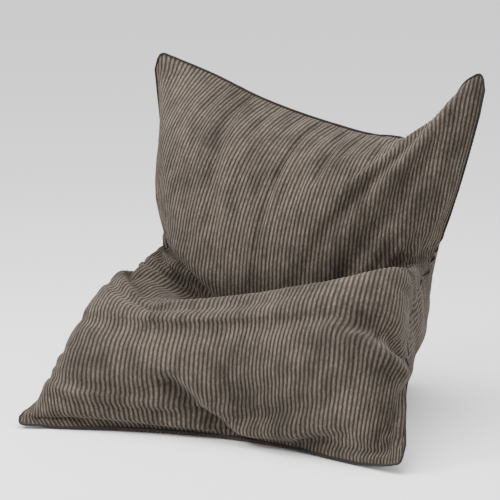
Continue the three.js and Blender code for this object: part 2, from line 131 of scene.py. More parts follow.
def spline(knots, points, places):
    """Smooth curve through points at uneven knots, read at many places."""
    spans = np.diff(knots)
    shape = (-1,) + (1,) * (points.ndim - 1)
    chord = np.diff(points, axis=0) / spans.reshape(shape)
    share = (spans[:-1] / (spans[:-1] + spans[1:])).reshape(shape)
    slope = np.empty_like(points)
    slope[1:-1] = chord[:-1] * (1 - share) + chord[1:] * share
    slope[0] = 1.5 * chord[0] - 0.5 * slope[1]
    slope[-1] = 1.5 * chord[-1] - 0.5 * slope[-2]
    i = np.clip(np.searchsorted(knots, places, side="right") - 1, 0, len(spans) - 1)
    span = spans[i].reshape(shape)
    a = ((places - knots[i]) / spans[i]).reshape(shape)
    return (points[i] * (1 + 2 * a) * (1 - a) ** 2 + points[i + 1] * a * a * (3 - 2 * a)
            + slope[i] * span * a * (1 - a) ** 2 - slope[i + 1] * span * a * a * (1 - a))


def on_form(net, across, down):
    """Form points for paired places across and down (1-D arrays of the same length)."""
    rows = spline(DOWN, net, down)
    out = np.empty((len(across), 3))
    for k in range(len(across)):
        out[k] = spline(ACROSS, rows[k], across[k:k + 1])[0]
    return out


front_net = make_net(FRONT_MIDDLE)
back_net = make_net(BACK_MIDDLE)

# The zip's tapes say where the form stands in the frame
TAPE_DEPTH = 0.00365
ZIP_HALF = 0.22
zip_line = zip_centre + zip_out * TAPE_DEPTH
zip_form = on_form(back_net, np.array([0, ZIP_HALF]), np.array([ZIP_FROM_TOP] * 2))
form_offset = np.array([zip_line[0], zip_line[1] - zip_form[:, 1].mean(), 0.0])
front_net += form_offset
back_net += form_offset

CELL = 0.025
FLOOR_CLEAR = 0.0004


def corner_cut(across):
    """How far the rounded corners cut into the panel's length at places across it."""
    into = np.clip(np.abs(across) - (PANEL_WIDTH / 2 - CORNER_RADIUS), 0, CORNER_RADIUS)
    return CORNER_RADIUS - np.sqrt(CORNER_RADIUS ** 2 - into ** 2)


def edge_distance(across, down):
    """Distance from flat places to the edge of the cut, along the panel's own directions."""
    side = PANEL_WIDTH / 2 - np.abs(across)
    cut = corner_cut(across)
    return np.minimum(side, np.minimum(down - cut, PANEL_LENGTH - cut - down))


def flat_grid(columns, rows):
    """Flat places (across, down) of a grid; rows run from 0 to 1 down each column."""
    across = np.broadcast_to(columns, (len(rows), len(columns)))
    cut = corner_cut(across)
    return across, cut + rows[:, None] * (PANEL_LENGTH - 2 * cut)


straight = PANEL_WIDTH / 2 - CORNER_RADIUS
middle_cells = round(2 * straight / CELL)
edge_column = straight + CORNER_RADIUS * math.sin(math.pi / 4)
sim_columns = np.concatenate([[-PANEL_WIDTH / 2, -edge_column],
                              np.linspace(-straight, straight, middle_cells + 1),
                              [edge_column, PANEL_WIDTH / 2]])
sim_rows = np.linspace(0, 1, round(PANEL_LENGTH / CELL) + 1)
sim_across, sim_down = flat_grid(sim_columns, sim_rows)
row_count, column_count = sim_across.shape


def lump(across, down, reach_across, reach_down):
    """A round lump, 1 at its middle, over the flat cut."""
    return np.exp(-((sim_across - across) / reach_across) ** 2
                  - ((sim_down - down) / reach_down) ** 2)


def form_grid(net):
    """The form over the cut's grid, with the right ear rounder and a notch beside it."""
    flat = on_form(net, sim_across.ravel(), sim_down.ravel())
    grid = flat.reshape(row_count, column_count, 3)
    grid[..., 2] += 0.055 * lump(0.615, 0, 0.06, 0.2) - 0.02 * lump(0.44, 0, 0.06, 0.12)
    return grid


front_form = form_grid(front_net)
back_form = form_grid(back_net)

# Folds that the sitting shape puts in the front panel, as lines on its flat cut (across, down),
# each with a half width and a height: hollows are negative.
FOLDS = [
    ([(-0.16, 1.53), (-0.115, 1.59), (-0.055, 1.67), (0.035, 1.77)], 0.034, -0.08),
    ([(-0.05, 1.56), (0.01, 1.64), (0.08, 1.72), (0.24, 1.71)], 0.06, 0.045),
    ([(0.36, 1.36), (0.42, 1.385), (0.50, 1.43), (0.62, 1.45)], 0.038, 0.048),
    ([(0.42, 1.31), (0.50, 1.355), (0.64, 1.375)], 0.032, -0.048),
    ([(0.27, 1.765), (0.36, 1.72), (0.44, 1.69)], 0.018, -0.022),
    ([(0.36, 1.745), (0.48, 1.735), (0.62, 1.745)], 0.016, -0.016),
    ([(-0.56, 0.93), (-0.48, 0.99), (-0.365, 1.055), (-0.245, 1.19)], 0.035, -0.028),
    ([(0.46, 0.10), (0.56, 0.12)], 0.08, 0.03),
    ([(-0.52, 0.70), (-0.40, 0.70), (-0.30, 0.72), (-0.21, 0.77)], 0.028, -0.034),
    ([(-0.40, 0.615), (-0.29, 0.63), (-0.20, 0.66)], 0.04, 0.018),
]


def line_distance(across, down, line):
    """Distance from flat places to a line of points."""
    line = np.array(line)
    place = np.stack([across, down], -1)
    nearest = np.full(across.shape, np.inf)
    for start, end in zip(line[:-1], line[1:]):
        way = end - start
        share = np.clip(((place - start) * way).sum(axis=-1) / way.dot(way), 0, 1)
        nearest = np.minimum(nearest, np.linalg.norm(place - start - share[..., None] * way, axis=-1))
    return nearest


def folded(grid):
    """The front form with its folds pressed in along its normals."""
    right = np.gradient(grid, axis=1)
    along = np.gradient(grid, axis=0)
    normal = np.cross(along, right)
    normal /= np.maximum(np.linalg.norm(normal, axis=2, keepdims=True), 1e-9)
    edge = np.minimum(PANEL_WIDTH / 2 - np.abs(sim_across),
                      np.minimum(sim_down, PANEL_LENGTH - sim_down))
    height = np.zeros(sim_across.shape)
    for line, half_width, rise in FOLDS:
        height += rise * np.exp(-(line_distance(sim_across, sim_down, line) / half_width) ** 2)
    return grid + normal * (height * np.clip(edge / 0.04, 0, 1))[..., None]


front_form = folded(front_form)
seam_distance = edge_distance(sim_across, sim_down)


def new_mesh(name, points, faces):
    """A smooth-shaded mesh from an array of points and a list of faces."""
    mesh = bpy.data.meshes.new(name)
    mesh.from_pydata(points.reshape(-1, 3).tolist(), [], faces)
    mesh.polygons.foreach_set("use_smooth", np.ones(len(mesh.polygons), dtype=bool))
    mesh.update()
    return mesh


def sack_mesh(front, back):
    """One closed mesh of both panels, the seam shared, and each panel's point numbers."""
    front_index = np.arange(row_count * column_count).reshape(row_count, column_count)
    back_index = front_index.copy()
    inner = (row_count - 2) * (column_count - 2)
    back_index[1:-1, 1:-1] = (front_index.size + np.arange(inner)).reshape(row_count - 2, -1)
    points = np.concatenate([front.reshape(-1, 3), back[1:-1, 1:-1].reshape(-1, 3)])
    faces = []
    for r in range(row_count - 1):
        for c in range(column_count - 1):
            for index, step in ((front_index, 1), (back_index, -1)):
                ring = (index[r, c], index[r + 1, c], index[r + 1, c + 1], index[r, c + 1])
                faces.append(ring[::step])
    return new_mesh("sack", points, faces), front_index, back_index


HOLD = 0.3
HOLD_SEAM = 0.85
HOLD_SEAT = 0.45
HOLD_ZIP = 0.8
FIT_ACROSS = 0.95
FIT_DOWN = 0.90
BENDING = 4.0
PRESSURE = 3.0
SIM_FRAMES = 40


def relax(frames):
    """Lays the flat panels on the form as cloth with a little air in it; returns both grids."""
    mesh, front_index, back_index = sack_mesh(front_form, back_form)
    sack = add_object("sack", mesh)
    sack.shape_key_add(name="form")
    pattern = sack.shape_key_add(name="pattern")
    dome = np.minimum(PANEL_WIDTH / 2 - np.abs(sim_across),
                      np.minimum(sim_down, PANEL_LENGTH - sim_down))
    for index, side in ((front_index, 1), (back_index, -1)):
        for r in range(row_count):
            for c in range(column_count):
                pattern.data[index[r, c]].co = (FIT_ACROSS * sim_across[r, c],
                                                -FIT_DOWN * sim_down[r, c],
                                                side * min(0.02, 0.1 * max(dome[r, c], 0)))
    hold = sack.vertex_groups.new(name="hold")
    hold.add(list(range(len(mesh.vertices))), HOLD, "REPLACE")
    seat = (sim_down > 0.56) & (sim_down < 1.30)
    hold.add(front_index[seat].tolist(), HOLD_SEAT, "REPLACE")
    hold.add(front_index[:5].ravel().tolist() + back_index[:5].ravel().tolist(), HOLD_SEAT,
             "REPLACE")
    seam = np.concatenate([front_index[0], front_index[-1], front_index[:, 0], front_index[:, -1]])
    hold.add(seam.tolist(), HOLD_SEAM, "REPLACE")
    hold.add(front_index[0].tolist(), 1.0, "REPLACE")
    corners = [index[r, c] for index in (front_index, back_index)
               for r in (0, 1, 2, -3, -2, -1) for c in (0, 1, 2, 3, -4, -3, -2, -1)]
    hold.add([int(i) for i in corners], 1.0, "REPLACE")
    at_zip = (np.abs(sim_down - ZIP_FROM_TOP) < 0.09) & (np.abs(sim_across) < ZIP_HALF + 0.08)
    hold.add(back_index[at_zip].tolist(), HOLD_ZIP, "REPLACE")
    # Cloth takes its rest shape only after another modifier, so one that does nothing comes first
    sack.modifiers.new("pass on", "WELD").merge_threshold = 0
    cloth = sack.modifiers.new("cloth", "CLOTH")
    settings = cloth.settings
    settings.quality = 8
    settings.mass = 0.15
    settings.tension_stiffness = 30
    settings.compression_stiffness = 30
    settings.shear_stiffness = 12
    settings.bending_stiffness = BENDING
    settings.tension_damping = 20
    settings.compression_damping = 20
    settings.shear_damping = 20
    settings.air_damping = 6
    settings.rest_shape_key = sack.data.shape_keys.key_blocks["pattern"]
    settings.use_pressure = True
    settings.uniform_pressure_force = PRESSURE
    settings.vertex_group_mass = "hold"
    settings.pin_stiffness = 1.0
    settings.effector_weights.gravity = 0
    cloth.collision_settings.use_collision = False
    cloth.point_cache.frame_end = frames
    scene = bpy.context.scene
    for step in range(1, frames + 1):
        scene.frame_set(step)
    result = sack.evaluated_get(bpy.context.evaluated_depsgraph_get())
    points = np.empty(len(result.data.vertices) * 3)
    result.data.vertices.foreach_get("co", points)
    points = points.reshape(-1, 3)
    scene.frame_set(1)
    bpy.data.objects.remove(sack)
    bpy.data.meshes.remove(mesh)
    return points[front_index], points[back_index]


SETTLED = 0.5
SETTLED_BASE = 0.16
# The filling presses most of the cloth's own folds out again
front_cloth, back_cloth = relax(SIM_FRAMES)
calm_arm = (1 - 0.75 * lump(0.60, 0.85, 0.16, 0.3))[..., None]
front_grid = front_form + SETTLED * calm_arm * (front_cloth - front_form)
# Weight rests on the back panel, so it keeps closer to the form away from the seam
near_seam = np.exp(-(seam_distance / 0.12) ** 2)[..., None]
back_share = SETTLED_BASE + (SETTLED * calm_arm - SETTLED_BASE) * near_seam
back_grid = back_form + back_share * (back_cloth - back_form)

# ---------------------------------------------------------------------------------------------
# Cover panels: wide-wale cotton cord, 14 mm from rib to rib, the wales running the length of
# the cut. Each panel is a shell: a ribbed outside and a smooth inside 3 mm in.
WALE_PITCH = 0.014
WALE_HEIGHT = 0.0024
WALE_PROFILE = [(0.0, 0.0), (0.13, 0.72), (0.36, 1.0), (0.64, 1.0), (0.87, 0.72)]
COVER_THICKNESS = 0.003
FINE_ROW = 0.0115
WALE_POINTS = len(WALE_PROFILE)
wales = round(PANEL_WIDTH / WALE_PITCH)


def read_surface(grid, across, rows):
    """A simulated grid read at other columns and rows, as a smooth surface."""
    down_rows = spline(sim_rows, grid, rows)
    return np.swapaxes(spline(sim_columns, np.swapaxes(down_rows, 0, 1), across), 0, 1)


def surface_normals(points, side):
    """Unit normals of a point grid; side is 1 for the front panel and -1 for the back."""
    right = np.gradient(points, axis=1)
    along = np.gradient(points, axis=0)
    normal = np.cross(right, along) * -side
    return normal / np.maximum(np.linalg.norm(normal, axis=2, keepdims=True), 1e-9)


def lattice_noise(seed, across, down, cell):
    """Smooth noise from -1 to 1 over the flat cut, with lumps about one cell wide."""
    values = np.random.default_rng(seed).uniform(-1, 1, (256, 256))
    u = across / cell + 100
    v = down / cell + 100
    i = np.floor(u).astype(int)
    j = np.floor(v).astype(int)
    a = u - i
    b = v - j
    a = a * a * (3 - 2 * a)
    b = b * b * (3 - 2 * b)
    i %= 255
    j %= 255
    return ((values[i, j] * (1 - a) + values[i + 1, j] * a) * (1 - b)
            + (values[i, j + 1] * (1 - a) + values[i + 1, j + 1] * a) * b)


def fine_columns():
    """Places across the panel: five for each wale, from groove to groove."""
    phase = np.array([p for p, _ in WALE_PROFILE])
    starts = -PANEL_WIDTH / 2 + WALE_PITCH * np.arange(wales)
    places = (starts[:, None] + WALE_PITCH * phase).ravel()
    height = np.tile([h for _, h in WALE_PROFILE], wales)
    return np.append(places, PANEL_WIDTH / 2), np.append(height, 0.0)


ribs, rib_height = fine_columns()


def panel_grids(grid, side, rows):
    """Outside and inside points of a panel between two stations down it, with flat places."""
    flat_across, flat_down = flat_grid(ribs, rows)
    smooth = read_surface(grid, ribs, rows)
    if side < 0:
        smooth = straighten_at_zip(smooth, flat_across, flat_down)
    normal = surface_normals(smooth, side)
    edge = edge_distance(flat_across, flat_down)
    lumps = 0.0012 * lattice_noise(11 + side, flat_across, flat_down, 0.07)
    lumps += 0.0006 * lattice_noise(21 + side, flat_across, flat_down, 0.025)
    crush = 1 + 0.32 * lattice_noise(31 + side, flat_across, flat_down * 0.45, 0.013)
    crush += 0.2 * lattice_noise(41 + side, flat_across, flat_down, 0.06)
    relief = rib_height * WALE_HEIGHT * crush * np.clip(edge / 0.012, 0.15, 1)
    outside = smooth + normal * (lumps * np.clip(edge / 0.05, 0, 1) + relief)[..., None]
    thickness = np.clip(edge / 0.02, 0.3, 1) * COVER_THICKNESS
    inside = (smooth - normal * thickness[..., None])[:, ::WALE_POINTS]
    outside[..., 2] = np.maximum(outside[..., 2], FLOOR_CLEAR)
    inside[..., 2] = np.maximum(inside[..., 2], FLOOR_CLEAR + thickness[:, ::WALE_POINTS])
    return outside, inside, flat_across, flat_down


def shell_mesh(name, outside, inside, flat_across, flat_down, side):
    """Closed mesh of a fine outside and an inside with one column for each wale."""
    rows, cols, _ = outside.shape
    inner_cols = inside.shape[1]
    points = np.concatenate([outside.reshape(-1, 3), inside.reshape(-1, 3)])
    out = np.arange(rows * cols).reshape(rows, cols)
    inn = rows * cols + np.arange(rows * inner_cols).reshape(rows, inner_cols)
    quads = np.stack([out[:-1, :-1], out[1:, :-1], out[1:, 1:], out[:-1, 1:]], -1).reshape(-1, 4)
    inner = np.stack([inn[:-1, :-1], inn[:-1, 1:], inn[1:, 1:], inn[1:, :-1]], -1).reshape(-1, 4)
    left = np.stack([out[:-1, 0], inn[:-1, 0], inn[1:, 0], out[1:, 0]], -1)
    right = np.stack([out[1:, -1], inn[1:, -1], inn[:-1, -1], out[:-1, -1]], -1)
    faces = np.concatenate([quads, inner, left, right])[:, ::side].tolist()
    for row, turn in ((0, -1), (rows - 1, 1)):
        for k in range(inner_cols - 1):
            wale = out[row, WALE_POINTS * k:WALE_POINTS * (k + 1) + 1]
            ring = [inn[row, k], inn[row, k + 1], *wale[::-1]]
            faces.append([int(i) for i in ring[::-turn * side]])
    mesh = new_mesh(name, points, faces)
    layer = mesh.uv_layers.new(name="OFBake")
    u, v = (np.concatenate([flat.ravel(), flat[:, ::WALE_POINTS].ravel()]) / PANEL_LENGTH
            for flat in (flat_across, flat_down))
    loops = np.empty(len(mesh.loops), dtype=np.int64)
    mesh.loops.foreach_get("vertex_index", loops)
    flat_uv = np.stack([u[loops] + 0.5, 1 - v[loops]], -1)
    layer.data.foreach_set("uv", flat_uv.astype(np.float32).ravel())
    return mesh


def add_piece(name, mesh, body="root"):
    """Puts a mesh in the scene as a piece that rides on a body."""
    piece = add_object(name, mesh)
    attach(piece, body)
    return piece


def eased(x):
    """0 below 0, 1 above 1, and smooth between."""
    x = np.clip(x, 0, 1)
    return x * x * (3 - 2 * x)


# The zip's line across the rear is straight, and the cover lies flat beside it
ZIP_SLOT = 0.006
ZIP_FLAT = 0.03
zip_row = ZIP_FROM_TOP / PANEL_LENGTH


def straighten_at_zip(points, across, down):
    """Draws the back panel on to the zip's plane near the zip."""
    place = zip_line + zip_up * (ZIP_FROM_TOP - down)[..., None]
    place[..., 0] = points[..., 0]
    beside = eased((ZIP_HALF + 0.16 - np.abs(points[..., 0])) / 0.12)
    near = eased((0.13 - np.abs(down - ZIP_FROM_TOP)) / (0.13 - ZIP_FLAT))
    share = (beside * near)[..., None]
    return points * (1 - share) + place * share


def open_slot(points, row, sign):
    """Pulls a panel's end row back from the zip's line: a slot at the zip, a seam beyond it."""
    gap = np.where(np.abs(points[row, :, 0] - zip_line[0]) < ZIP_HALF + 0.008, ZIP_SLOT, 0.0003)
    points[row] += sign * zip_up * gap[:, None]


zip_lips = []


def cover_panel(name, grid, side, rows, zip_end=None):
    """One panel of the cover as a piece; zip_end is the row at the zip and its way from it."""
    outside, inside, across, down = panel_grids(grid, side, rows)
    if zip_end is not None:
        row, sign = zip_end
        open_slot(outside, row, sign)
        open_slot(inside, row, sign)
        zip_lips.append((outside, row, -1 if row < 0 else 1))
    return add_piece(name, shell_mesh(name, outside, inside, across, down, side))


front_rows = np.linspace(0, 1, round(PANEL_LENGTH / FINE_ROW) + 1)
upper_rows = np.linspace(0, zip_row, round(ZIP_FROM_TOP / FINE_ROW) + 1)
lower_rows = np.linspace(zip_row, 1, round((PANEL_LENGTH - ZIP_FROM_TOP) / FINE_ROW) + 1)
front_panel = cover_panel("cover_front_panel", front_grid, 1, front_rows)
back_upper = cover_panel("cover_back_upper", back_grid, -1, upper_rows, (-1, 1))
back_lower = cover_panel("cover_back_lower", back_grid, -1, lower_rows, (0, -1))
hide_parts("front_panel")
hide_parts("back_panel_upper")
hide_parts("back_panel_lower")


def linear(code):
    """Linear colour from an sRGB hex code."""
    parts = [int(code[i:i + 2], 16) / 255 for i in (1, 3, 5)]
    return (*[p / 12.92 if p <= 0.04045 else ((p + 0.055) / 1.055) ** 2.4 for p in parts], 1)


def add_node(tree, kind, settings=None, **links):
    """Adds a node, sets its properties, then its inputs: a socket is linked, a value is set."""
    node = tree.nodes.new(kind)
    for key, value in (settings or {}).items():
        setattr(node, key, value)
    for key, value in links.items():
        name = key.replace("_", " ")
        socket = node.inputs[int(key[1:])] if key[1:].isdigit() else node.inputs[name]
        if isinstance(value, bpy.types.NodeSocket):
            tree.links.new(value, socket)
        else:
            socket.default_value = value
    return node


def new_material(name):
    """An empty node material; returns it, its tree and its principled shader."""
    material = bpy.data.materials.new(name)
    material.use_nodes = True
    tree = material.node_tree
    return material, tree, tree.nodes["Principled BSDF"]


# Cotton cord: cut pile brushed into round wales. Its colour paints a highlight on each wale's
# crown and shade in the groove between wales, and the pile lies in patches.
# Wale colours: the crown with a painted highlight, the flank, and the groove with painted shade
CORD_CROWN_HIGHLIGHT = "#5e554c"
CORD_FLANK = "#3f3831"
CORD_GROOVE_SHADE = "#26211c"
TUFT_WIDTH = 0.006
TUFT_LENGTH = 0.017


def cord_material():
    """Cotton cord: matt, with soft stripes of painted highlight and shade, and a faint bloom at its
    edges.
    """
    material, tree, shader = new_material("cotton cord, wide wale")
    place = add_node(tree, "ShaderNodeUVMap", {"uv_map": "OFBake"}).outputs["UV"]
    metres = add_node(tree, "ShaderNodeVectorMath", {"operation": "MULTIPLY_ADD"},
                      i0=place, i1=(PANEL_LENGTH,) * 3,
                      i2=(PANEL_WIDTH / 2 - PANEL_LENGTH / 2, 0, 0)).outputs[0]

    def noise(across, along, detail, rough):
        """Noise in lumps of that many metres across and along the wales."""
        stretched = add_node(tree, "ShaderNodeVectorMath", {"operation": "MULTIPLY"},
                             i0=metres, i1=(1 / across, 1 / along, 1)).outputs[0]
        return add_node(tree, "ShaderNodeTexNoise", {"noise_dimensions": "2D"}, Vector=stretched,
                        Scale=1.0, Detail=detail, Roughness=rough).outputs["Fac"]

    # The pile's edge strays into the groove, so that no wale is a clean stripe
    fray = add_node(tree, "ShaderNodeMapRange", i0=noise(0.004, 0.007, 3.0, 0.7), i1=0.25, i2=0.75,
                    i3=-0.0018, i4=0.0018).outputs[0]
    across = add_node(tree, "ShaderNodeSeparateXYZ", i0=metres).outputs["X"]
    strayed = add_node(tree, "ShaderNodeMath", {"operation": "ADD"}, i0=across, i1=fray).outputs[0]
    turn = add_node(tree, "ShaderNodeMath", {"operation": "MULTIPLY"}, i0=strayed,
                    i1=2 * math.pi / WALE_PITCH).outputs[0]
    wave = add_node(tree, "ShaderNodeMath", {"operation": "COSINE"}, i0=turn).outputs[0]
    # 1 on a wale's crown, where the highlight is painted, down to 0 in the groove, where shade is
    # painted
    lit_crown_mask = add_node(tree, "ShaderNodeMapRange", i0=wave, i1=1.0, i2=-0.7, i3=0.0, i4=1.0).outputs[0]
    tufts = noise(TUFT_WIDTH, TUFT_LENGTH, 3.0, 0.65)
    hairs = noise(0.0009, 0.0034, 2.0, 0.6)
    brushed = noise(0.05, 0.09, 4.0, 0.6)
    lay = noise(0.22, 0.3, 3.0, 0.5)
    tuft_rise = add_node(tree, "ShaderNodeMapRange", i0=tufts, i1=0.3, i2=0.7, i3=0.48,
                         i4=0.96).outputs[0]
    hair_rise = add_node(tree, "ShaderNodeMapRange", i0=hairs, i1=0.3, i2=0.7, i3=-0.12,
                         i4=0.12).outputs[0]
    pile = add_node(tree, "ShaderNodeMath", {"operation": "ADD"}, i0=tuft_rise,
                    i1=hair_rise).outputs[0]
    height = add_node(tree, "ShaderNodeMath", {"operation": "MULTIPLY"}, i0=pile,
                      i1=lit_crown_mask).outputs[0]
    # The ramp paints shade in the grooves and a highlight on the crowns, broken into short dashes by
    # the tufts
    ramp = add_node(tree, "ShaderNodeValToRGB", i0=height)
    stops = ramp.color_ramp.elements
    stops[0].position, stops[0].color = 0.10, linear(CORD_GROOVE_SHADE)
    stops[1].position, stops[1].color = 1.0, linear(CORD_CROWN_HIGHLIGHT)
    middle = stops.new(0.48)
    middle.color = linear(CORD_FLANK)
    patches = add_node(tree, "ShaderNodeMath", {"operation": "ADD"}, i0=brushed, i1=lay).outputs[0]
    shade = add_node(tree, "ShaderNodeMapRange", i0=patches, i1=0.7, i2=1.3, i3=0.58,
                     i4=1.40).outputs[0]
    colour = add_node(tree, "ShaderNodeVectorMath", {"operation": "SCALE"},
                      i0=ramp.outputs["Color"], Scale=shade).outputs[0]
    tree.links.new(colour, shader.inputs["Base Color"])
    relief = add_node(tree, "ShaderNodeMath", {"operation": "MULTIPLY_ADD"}, i0=hairs, i1=0.5,
                      i2=tufts).outputs[0]
    bump = add_node(tree, "ShaderNodeBump", Height=relief, Strength=0.7, Distance=0.0016)
    tree.links.new(bump.outputs["Normal"], shader.inputs["Normal"])
    shader.inputs["Roughness"].default_value = 0.95
    shader.inputs["Specular IOR Level"].default_value = 0.2
    shader.inputs["Sheen Weight"].default_value = 0.18
    shader.inputs["Sheen Roughness"].default_value = 0.5
    shader.inputs["Sheen Tint"].default_value = linear("#cfc4b8")
    return material


cord = cord_material()
for panel in (front_panel, back_upper, back_lower):
    panel.data.materials.append(cord)

# ---------------------------------------------------------------------------------------------
# Piping: a bias-cut strip of dark cotton twill folded round a twisted cotton cord. Its edges are
# caught in the seam all the way round, so the rounded sleeve stands proud between the panels.
PIPING_RADIUS = 0.0036
CORE_RADIUS = 0.0023
PIPING_PROUD = 0.0034
PIPING_SIDES = 12
PIPING_STEP = 0.006
SEAM_PROBE = 0.012


def seam_loop():
    """Points round the seam and the way out of the cushion at each, a closed loop."""
    side_steps = round(PANEL_LENGTH / PIPING_STEP)
    side_rows = np.linspace(0, 1, side_steps + 1)
    top_columns = ribs[::2]
    loops = []
    for grid, side in ((front_grid, 1), (back_grid, -1)):
        across = np.concatenate([top_columns[:-1], np.full(side_steps, ribs[-1]),
                                 top_columns[:0:-1], np.full(side_steps, ribs[0])])
        rows = np.concatenate([np.zeros(len(top_columns) - 1), side_rows[:-1],
                               np.ones(len(top_columns) - 1), side_rows[:0:-1]])
        on_edge = at_places(grid, across, rows)
        deeper = at_places(grid, across * (1 - 2 * SEAM_PROBE / PANEL_WIDTH),
                           0.5 + (rows - 0.5) * (1 - 2 * SEAM_PROBE / PANEL_LENGTH))
        way = deeper - on_edge
        loops.append((on_edge, way / np.linalg.norm(way, axis=1, keepdims=True)))
    (points, front_way), (_, back_way) = loops
    out = -(front_way + back_way)
    return points, out / np.maximum(np.linalg.norm(out, axis=1, keepdims=True), 1e-6)


def at_places(grid, across, rows):
    """A simulated grid read at paired places."""
    lines = spline(sim_rows, grid, rows)
    return np.array([spline(sim_columns, lines[k], across[k:k + 1])[0] for k in range(len(rows))])


def loop_tube(name, path, radius, sides):
    """Closed tube round a closed path, its radius given at each point."""
    tangent = np.roll(path, -1, axis=0) - np.roll(path, 1, axis=0)
    tangent /= np.linalg.norm(tangent, axis=1, keepdims=True)
    normal = np.empty_like(path)
    current = np.cross(tangent[0], (0.0, 0.0, 1.0))
    for k, way in enumerate(tangent):
        current = current - way * current.dot(way)
        current /= np.linalg.norm(current)
        normal[k] = current
    other = np.cross(tangent, normal)
    angle = np.linspace(0, 2 * np.pi, sides, endpoint=False)
    ring = (path[:, None] + radius[:, None, None] * (normal[:, None] * np.cos(angle)[:, None]
                                                     + other[:, None] * np.sin(angle)[:, None]))
    index = np.arange(len(path) * sides).reshape(len(path), sides)
    ahead = np.roll(index, -1, axis=0)
    faces = np.stack([np.roll(index, -1, axis=1), np.roll(ahead, -1, axis=1), ahead, index], -1)
    return new_mesh(name, ring, faces.reshape(-1, 4).tolist())


seam_points, seam_out = seam_loop()
piping_path = seam_points + seam_out * PIPING_PROUD
piping_path[:, 2] = np.maximum(piping_path[:, 2], PIPING_RADIUS + 2 * FLOOR_CLEAR)
wobble = np.random.default_rng(5).normal(0, 1, len(piping_path))
wobble = np.convolve(np.concatenate([wobble[-4:], wobble, wobble[:4]]), np.ones(9) / 9, "valid")
piping = add_piece("piping", loop_tube("piping", piping_path, PIPING_RADIUS + 0.0004 * wobble,
                                       PIPING_SIDES))
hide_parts("piping_sleeve")
core_twist = 0.0002 * np.sin(np.arange(len(piping_path)) * 1.3)
core = add_piece("piping_core", loop_tube("piping_core", piping_path, CORE_RADIUS + core_twist, 8))
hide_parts("piping_cord")


# The twill's lines, in real cloth under a millimetre apart, are drawn coarser so that they show
TWILL_SPACING = 0.00227
WORN_PATCH = 0.0167
STRAND_SPACING = 0.0052
DIAGONAL_WAVE = 2 * math.pi / (10 * math.sqrt(3))


def piping_material():
    """Dyed twill: nearly black and matt, with fine slanting lines rubbed a little lighter."""
    material, tree, shader = new_material("cotton twill, dyed dark")
    place = add_node(tree, "ShaderNodeTexCoord").outputs["Object"]
    twill = add_node(tree, "ShaderNodeTexWave", {"bands_direction": "DIAGONAL"}, Vector=place,
                     Scale=DIAGONAL_WAVE / TWILL_SPACING, Distortion=1.5, Detail=2.0).outputs["Fac"]
    worn = add_node(tree, "ShaderNodeTexNoise", Vector=place, Scale=1 / WORN_PATCH,
                    Detail=3.0).outputs["Fac"]
    shade = add_node(tree, "ShaderNodeMath", {"operation": "MULTIPLY"}, i0=twill, i1=worn).outputs[0]
    colour = add_node(tree, "ShaderNodeMix", {"data_type": "RGBA"}, i0=shade,
                      i6=linear("#0d0b0a"), i7=linear("#221e1b")).outputs[2]
    tree.links.new(colour, shader.inputs["Base Color"])
    bump = add_node(tree, "ShaderNodeBump", Height=twill, Strength=0.4, Distance=0.0004)
    tree.links.new(bump.outputs["Normal"], shader.inputs["Normal"])
    shader.inputs["Roughness"].default_value = 0.9
    return material


piping.data.materials.append(piping_material())


def cotton_material():
    """Undyed cotton: off-white strands with soft shadows where they lie together."""
    material, tree, shader = new_material("twisted cotton cord")
    place = add_node(tree, "ShaderNodeTexCoord").outputs["Object"]
    strands = add_node(tree, "ShaderNodeTexWave", {"bands_direction": "DIAGONAL"}, Vector=place,
                       Scale=DIAGONAL_WAVE / STRAND_SPACING, Distortion=2.0,
                       Detail=2.0).outputs["Fac"]
    colour = add_node(tree, "ShaderNodeMix", {"data_type": "RGBA"}, i0=strands,
                      i6=linear("#c9c2b2"), i7=linear("#eae5d8")).outputs[2]
    tree.links.new(colour, shader.inputs["Base Color"])
    bump = add_node(tree, "ShaderNodeBump", Height=strands, Strength=0.6, Distance=0.0006)
    tree.links.new(bump.outputs["Normal"], shader.inputs["Normal"])
    shader.inputs["Roughness"].default_value = 0.9
    return material


core.data.materials.append(cotton_material())

# ---------------------------------------------------------------------------------------------
# Inner bag and filling: a thin closed liner holds the beads, so that the cover can come off to
# be washed. Both follow the cover from inside and are sewn or closed a little short of its seam.
LINER_DEPTH = 0.011
LINER_THICKNESS = 0.002
FILL_DEPTH = 0.020
LINER_SHORT = 0.028
FILL_SHORT = 0.055
CORNER_EASE = 0.16
INNER_CELL = 0.022


def calmed(grid, rounds):
    """A grid with its sharp folds smoothed away, its edge kept."""
    grid = grid.copy()
    for _ in range(rounds):
        grid[1:-1, 1:-1] = (grid[:-2, 1:-1] + grid[2:, 1:-1] + grid[1:-1, :-2]
                            + grid[1:-1, 2:]) / 4
    return grid


def cover_surface():
    """The cover's smooth surface as a tree that finds the nearest place on it."""
    across = np.linspace(sim_columns[0], sim_columns[-1], 141)
    rows = np.linspace(0, 1, 181)
    points, faces = [], []
    for grid, side in ((front_grid, 1), (back_grid, -1)):
        surface = read_surface(grid, across, rows)
        if side < 0:
            flat_across, flat_down = flat_grid(across, rows)
            surface = straighten_at_zip(surface, flat_across, flat_down)
        index = np.arange(surface.size // 3).reshape(surface.shape[:2])
        faces += strip_faces(index + len(points) * index.size, side)
        points.append(surface.reshape(-1, 3))
    return BVHTree.FromPolygons(np.concatenate(points).tolist(), faces)


def strip_faces(index, side):
    """Four-sided faces over a grid of point numbers, turned over where side is -1."""
    ring = np.stack([index[:-1, :-1], index[1:, :-1], index[1:, 1:], index[:-1, 1:]], -1)
    return ring.reshape(-1, 4)[:, ::side].tolist()


cover_tree = cover_surface()


